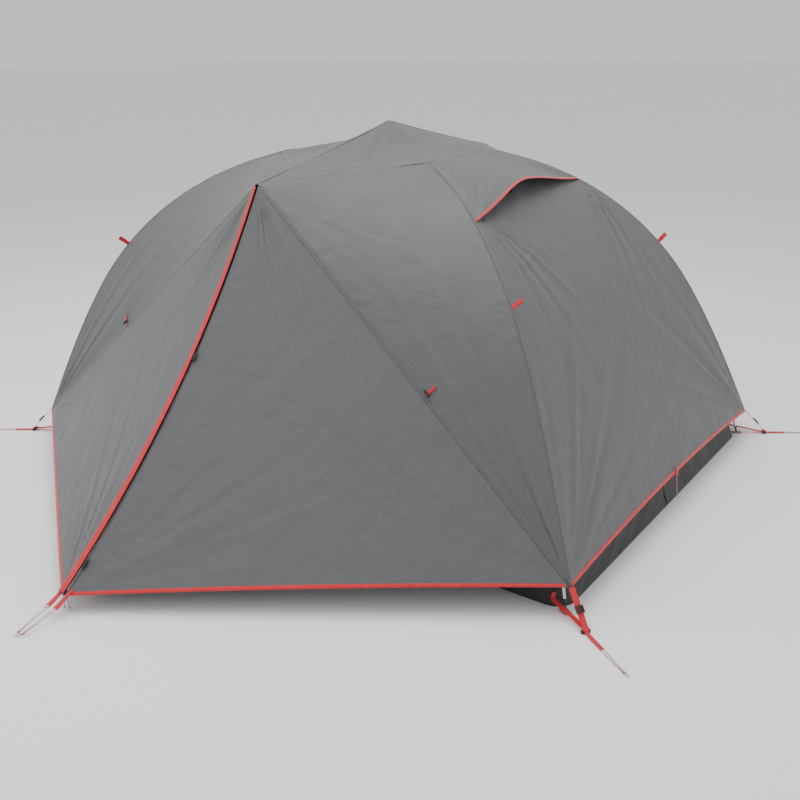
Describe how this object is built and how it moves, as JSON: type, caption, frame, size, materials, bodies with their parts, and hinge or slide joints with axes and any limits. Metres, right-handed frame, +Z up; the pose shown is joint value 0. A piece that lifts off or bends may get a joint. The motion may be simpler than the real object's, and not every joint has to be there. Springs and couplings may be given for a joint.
{
  "type": "dome tent",
  "caption": "Free-standing dome tent with crossed poles and a brow pole, full rain fly, zipped porch on each long side, vent hoods and an inner tent with a bathtub floor.",
  "frame": {"origin": "on the ground under the poles' crossing, at the middle of the floor", "axes": "+X along the sleeping length, +Y across towards the far porch, +Z up"},
  "size_m": [2.637, 3.2168, 1.1544],
  "materials": {
    "fly_cloth": "coated polyester, satin",
    "red_trim": "folded binding tape",
    "red_webbing": "woven webbing",
    "floor_cloth": "coated polyester, satin",
    "inner_mesh": "fine mesh and breathable cloth",
    "pole_tube": "anodised",
    "pole_ends": "moulded",
    "black_plastic": "moulded",
    "zip_chain": "coil",
    "zip_metal": "die cast, painted",
    "brass_grommet": "rolled",
    "peg_cord": "braided",
    "stretch_cord": "covered"
  },
  "bodies": {
    "root": {"anchor_bars": "black_plastic", "brow_pole": "pole_tube", "corner_grommets": "brass_grommet", "crossing_hub": "pole_ends", "floor_corner_straps": "red_webbing", "floor_tub": "floor_cloth", "fly_corner_straps": "red_webbing", "fly_end_left": "fly_cloth", "fly_end_right": "fly_cloth", "fly_hem_binding": "red_trim", "fly_roof": "fly_cloth", "fly_side_panels": "fly_cloth", "grommet_tabs": "red_webbing", "guy_out_tabs": "red_webbing", "hem_cords": "peg_cord", "inner_end_walls": "inner_mesh", "inner_roof": "inner_mesh", "inner_shoulders": "inner_mesh", "inner_side_wall_far": "inner_mesh", "inner_side_wall_near": "inner_mesh", "inner_zips": "zip_chain", "ladder_locks": "black_plastic", "main_pole_a": "pole_tube", "main_pole_b": "pole_tube", "peg_cords_left": "peg_cord", "peg_cords_right": "peg_cord", "pole_clips": "pole_ends", "pole_tips": "pole_ends", "shock_cords": "stretch_cord", "tie_back_loops": "red_webbing", "tie_back_toggles": "black_plastic", "vent_hoods": "fly_cloth", "vent_mesh": "inner_mesh"},
    "door_near_left": {"fly_door_near_left": "fly_cloth", "door_trim_near_left": "red_trim", "storm_flap_near": "red_trim", "fly_zip_near": "zip_chain", "peg_cords_near_left": "peg_cord"},
    "door_near_right": {"fly_door_near_right": "fly_cloth", "door_trim_near_right": "red_trim", "peg_cords_near_right": "peg_cord"},
    "door_far_right": {"fly_door_far_right": "fly_cloth", "door_trim_far_right": "red_trim", "storm_flap_far": "red_trim", "fly_zip_far": "zip_chain", "peg_cords_far_right": "peg_cord"},
    "door_far_left": {"fly_door_far_left": "fly_cloth", "door_trim_far_left": "red_trim", "peg_cords_far_left": "peg_cord"},
    "fly_slider_near": {"fly_slider_near": "zip_metal", "zip_pulls_near": "peg_cord"},
    "fly_slider_far": {"fly_slider_far": "zip_metal", "zip_pulls_far": "peg_cord"},
    "inner_door_near": {"inner_door_near": "inner_mesh"},
    "inner_door_far": {"inner_door_far": "inner_mesh"},
    "inner_slider_near": {"inner_slider_near": "zip_metal"},
    "inner_slider_far": {"inner_slider_far": "zip_metal"},
    "vent_prop_right": {"vent_prop_right": "black_plastic"},
    "vent_prop_left": {"vent_prop_left": "black_plastic"}
  },
  "joints": [
    {"name": "door_near_right_swing", "type": "hinge", "parent": "root", "child": "door_near_right", "pos_m": [0, -0.655, 1.02], "axis": [-0.7639, 0.0567, 0.6429], "range_deg": [0, 105]},
    {"name": "door_near_left_swing", "type": "hinge", "parent": "root", "child": "door_near_left", "pos_m": [0, -0.655, 1.02], "axis": [-0.7639, -0.0567, -0.6429], "range_deg": [0, 105]},
    {"name": "door_far_left_swing", "type": "hinge", "parent": "root", "child": "door_far_left", "pos_m": [0, 0.655, 1.02], "axis": [0.7639, -0.0567, 0.6429], "range_deg": [0, 105]},
    {"name": "door_far_right_swing", "type": "hinge", "parent": "root", "child": "door_far_right", "pos_m": [0, 0.655, 1.02], "axis": [0.7639, 0.0567, -0.6429], "range_deg": [0, 105]},
    {"name": "fly_slider_near_travel", "type": "hinge", "parent": "door_near_left", "child": "fly_slider_near", "pos_m": [0, -3.61796, 2.7042], "axis": [1, 0, 0], "range_deg": [0, 20.4]},
    {"name": "fly_slider_far_travel", "type": "hinge", "parent": "door_far_right", "child": "fly_slider_far", "pos_m": [0, 3.61796, 2.7042], "axis": [-1, 0, 0], "range_deg": [0, 20.4]},
    {"name": "inner_door_near_swing", "type": "hinge", "parent": "root", "child": "inner_door_near", "pos_m": [-0.245, -0.65095, 0.51247], "axis": [0, 0.0921, 0.9957], "range_deg": [0, 105]},
    {"name": "inner_door_far_swing", "type": "hinge", "parent": "root", "child": "inner_door_far", "pos_m": [0.245, 0.65095, 0.51247], "axis": [0, -0.0921, 0.9957], "range_deg": [0, 105]},
    {"name": "inner_slider_near_travel", "type": "hinge", "parent": "root", "child": "inner_slider_near", "pos_m": [0, -0.65095, 0.51247], "axis": [0, -0.9957, 0.0921], "range_deg": [0, 269]},
    {"name": "inner_slider_far_travel", "type": "hinge", "parent": "root", "child": "inner_slider_far", "pos_m": [0, 0.65095, 0.51247], "axis": [0, 0.9957, 0.0921], "range_deg": [0, 269]},
    {"name": "vent_prop_right_fold", "type": "hinge", "parent": "root", "child": "vent_prop_right", "pos_m": [0.52374, -0.095, 0.96648], "axis": [-0.8917, 0, 0.4526], "range_deg": [0, 80]},
    {"name": "vent_prop_left_fold", "type": "hinge", "parent": "root", "child": "vent_prop_left", "pos_m": [-0.52374, 0.095, 0.96648], "axis": [0.8917, 0, 0.4526], "range_deg": [0, 80]}
  ]
}
